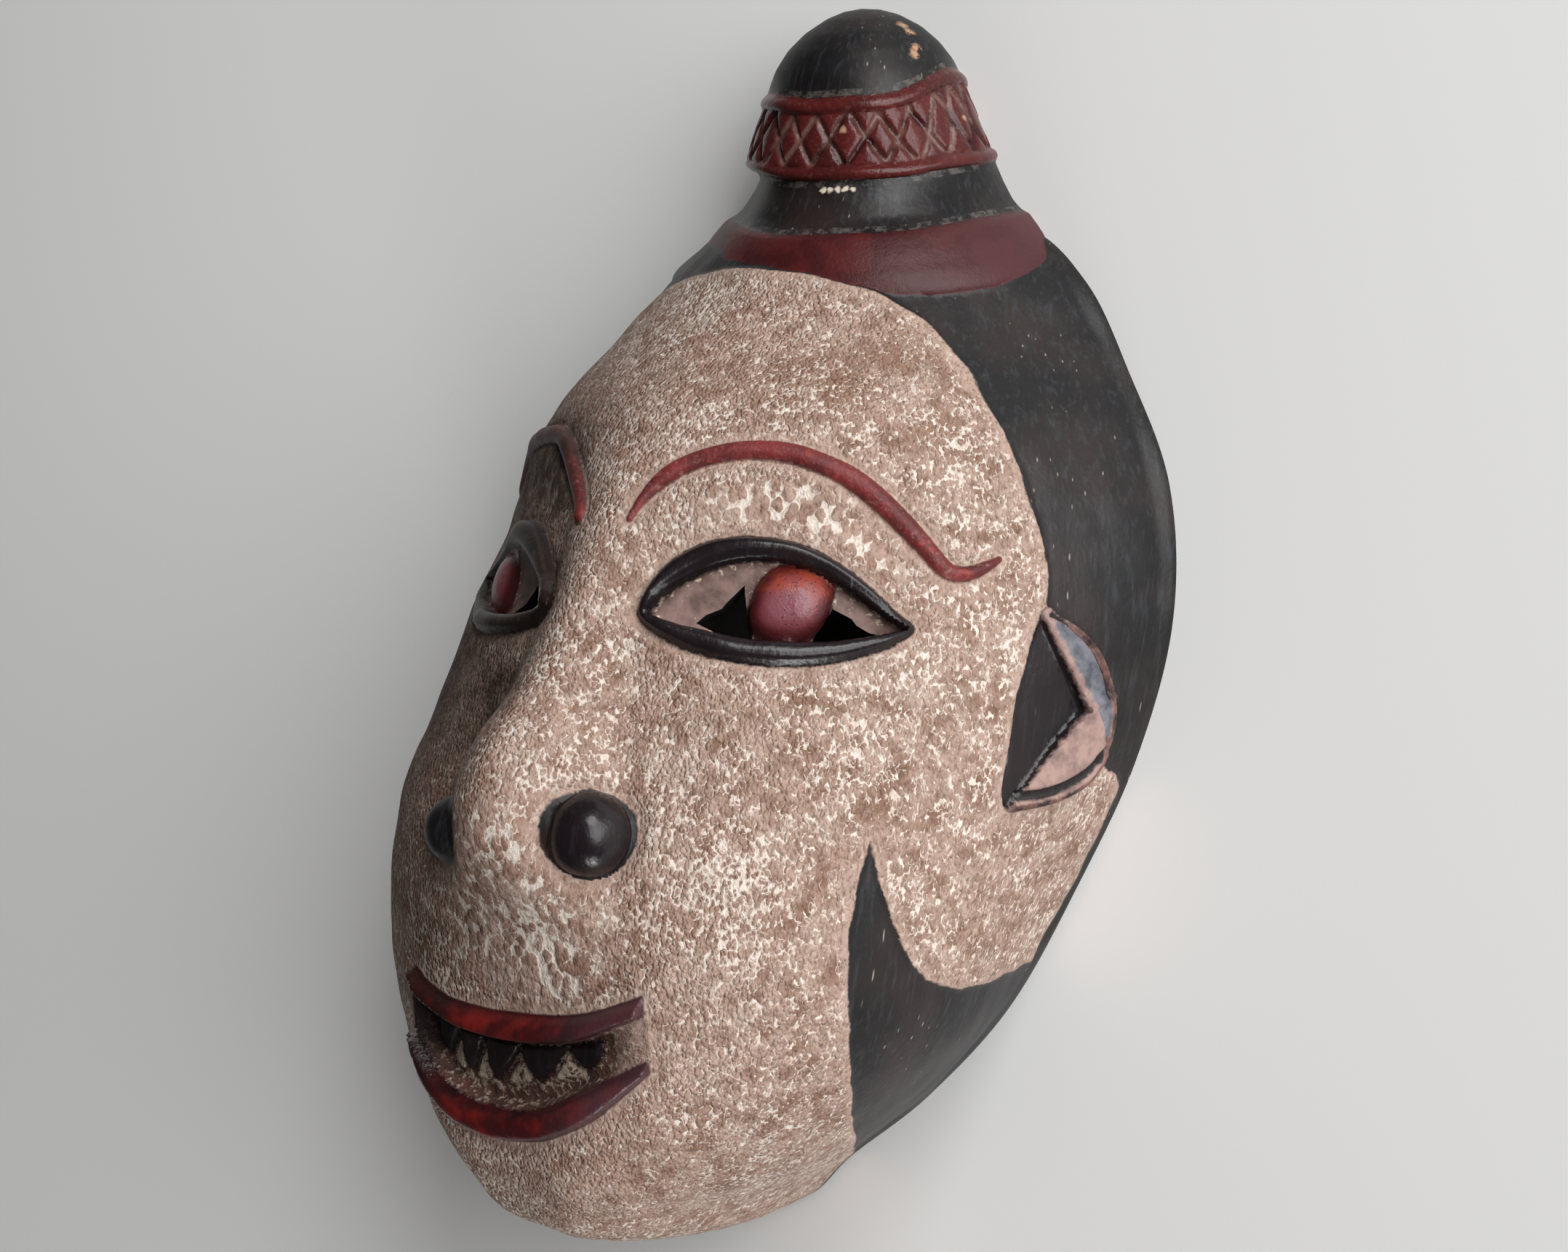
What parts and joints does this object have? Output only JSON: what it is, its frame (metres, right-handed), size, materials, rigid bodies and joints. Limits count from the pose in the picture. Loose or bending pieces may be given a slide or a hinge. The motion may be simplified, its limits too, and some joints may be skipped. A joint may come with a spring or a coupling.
{
  "type": "carved face mask",
  "caption": "Hollow carved wooden face mask with a domed topknot, slit eyes, ridged brows, open mouth and ears, lying on its flat back rim.",
  "frame": {"origin": "middle of the mask's box, in the plane of the flat back rim that it lies on", "axes": "+Z out of the face, +Y from the chin towards the topknot, +X to the right of someone who faces the mask"},
  "size_m": [0.2278, 0.3643, 0.1509],
  "materials": {
    "painted_wood": "kaolin clay and black and oxblood paint on carved wood"
  },
  "bodies": {
    "root": {"mask": "painted_wood"}
  },
  "joints": []
}
